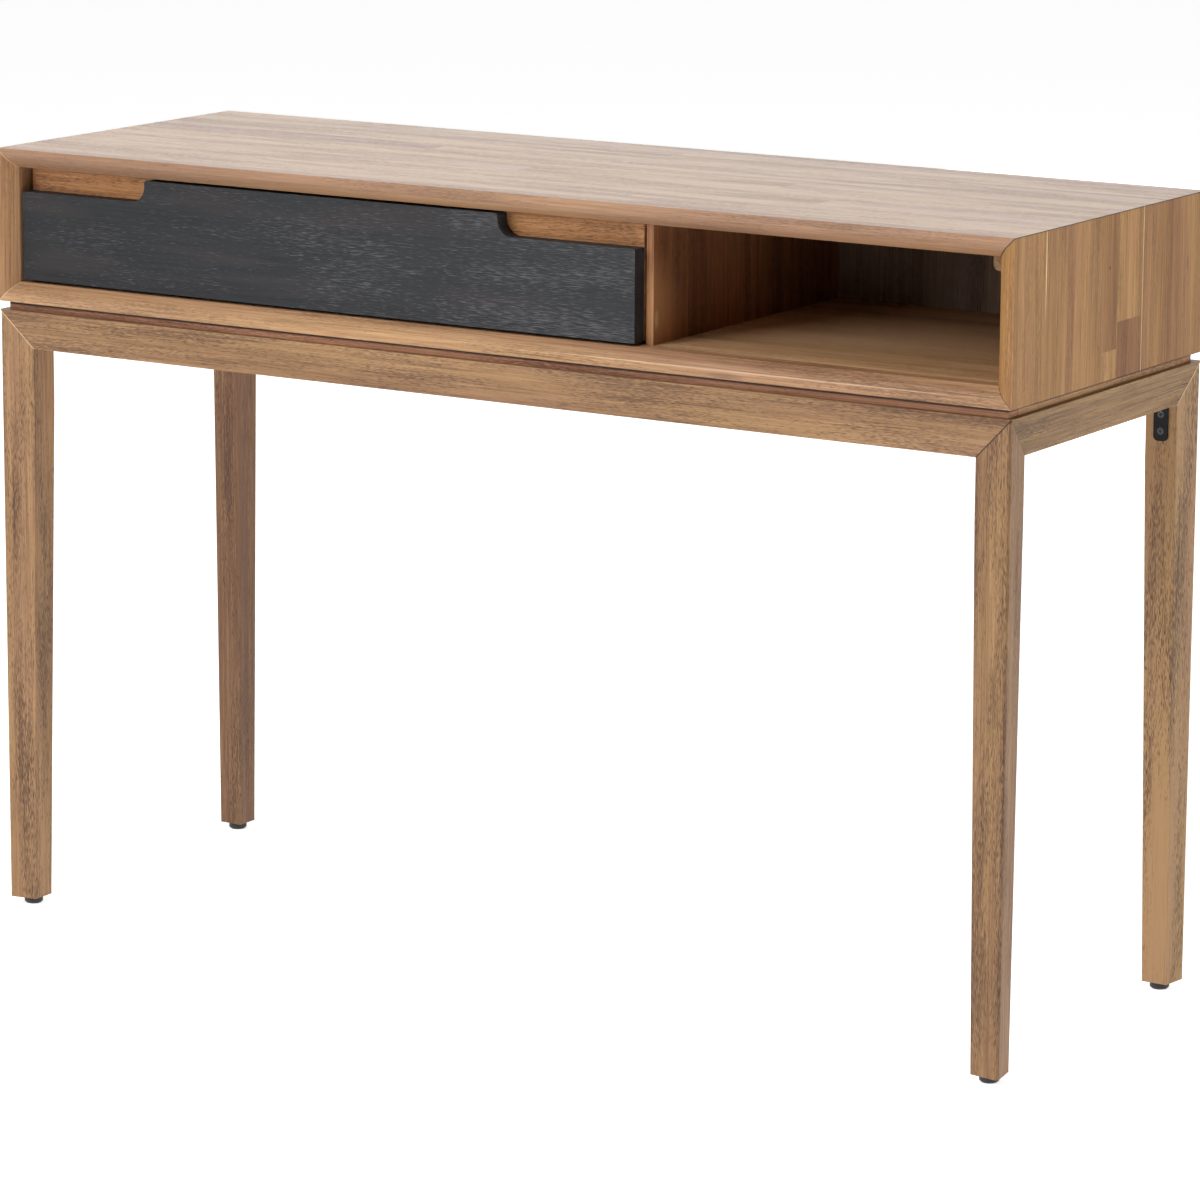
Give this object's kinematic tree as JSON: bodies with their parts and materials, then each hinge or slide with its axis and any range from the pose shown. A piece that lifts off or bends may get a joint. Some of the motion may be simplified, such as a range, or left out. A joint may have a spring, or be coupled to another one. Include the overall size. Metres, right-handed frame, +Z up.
{
  "type": "console_table",
  "caption": "Console table with a sliding drawer beside an open bay in a mitred case, carried on a mitred frame with tapered legs.",
  "frame": {"origin": "on the floor, at the middle of the footprint", "axes": "+X to the right of a person facing the front, +Y from front to back, +Z up"},
  "size_m": [1.2, 0.41, 0.82],
  "materials": {
    "top_wood": "oiled, sun-bleached long grain",
    "case_wood": "oiled",
    "inner_wood": "oiled",
    "back_wood": "oiled, dark",
    "plinth_wood": "oiled",
    "frame_wood": "oiled, open pores",
    "face_stain": "charcoal stain, brushed grain",
    "box_wood": "plain planed",
    "bracket_steel": "black powder coat",
    "glide_plastic": "moulded",
    "runner_steel": "zinc plated",
    "screw_steel": "zinc plated"
  },
  "bodies": {
    "table": {"top_panel": "top_wood", "bottom_panel": "case_wood", "side_left": "case_wood", "side_right": "case_wood", "divider": "case_wood", "back_panel": "back_wood", "back_screws": "screw_steel", "bay_cleat": "case_wood", "plinth_front": "plinth_wood", "plinth_back": "plinth_wood", "plinth_left": "plinth_wood", "plinth_right": "plinth_wood", "rail_front": "frame_wood", "rail_back": "frame_wood", "rail_left": "frame_wood", "rail_right": "frame_wood", "leg_front_left": "frame_wood", "leg_front_right": "frame_wood", "leg_back_left": "frame_wood", "leg_back_right": "frame_wood", "bracket_front_left": "bracket_steel", "bracket_front_right": "bracket_steel", "bracket_back_left": "bracket_steel", "bracket_back_right": "bracket_steel", "bracket_screws": "bracket_steel", "case_screws": "screw_steel", "glide_front_left": "glide_plastic", "glide_front_right": "glide_plastic", "glide_back_left": "glide_plastic", "glide_back_right": "glide_plastic", "runner_case_left": "runner_steel", "runner_case_right": "runner_steel", "runner_case_screws": "screw_steel"},
    "drawer": {"drawer_face": "face_stain", "drawer_front": "inner_wood", "drawer_side_left": "box_wood", "drawer_side_right": "box_wood", "drawer_back": "box_wood", "drawer_bottom": "box_wood", "face_screws": "screw_steel", "runner_box_left": "runner_steel", "runner_box_right": "runner_steel", "runner_box_screws": "screw_steel"},
    "slide_left": {"runner_middle_left": "runner_steel"},
    "slide_right": {"runner_middle_right": "runner_steel"}
  },
  "joints": [
    {"name": "drawer_slide", "type": "slide", "parent": "table", "child": "drawer", "axis": [0, -1, 0], "range_m": [0, 0.3]},
    {"name": "slide_left_travel", "type": "slide", "parent": "table", "child": "slide_left", "axis": [0, -1, 0], "range_m": [0, 0.15]},
    {"name": "slide_right_travel", "type": "slide", "parent": "table", "child": "slide_right", "axis": [0, -1, 0], "range_m": [0, 0.15]}
  ],
  "couplings": [
    {"joint": "slide_left_travel", "follows": "drawer_slide", "ratio": 0.5},
    {"joint": "slide_right_travel", "follows": "drawer_slide", "ratio": 0.5}
  ]
}
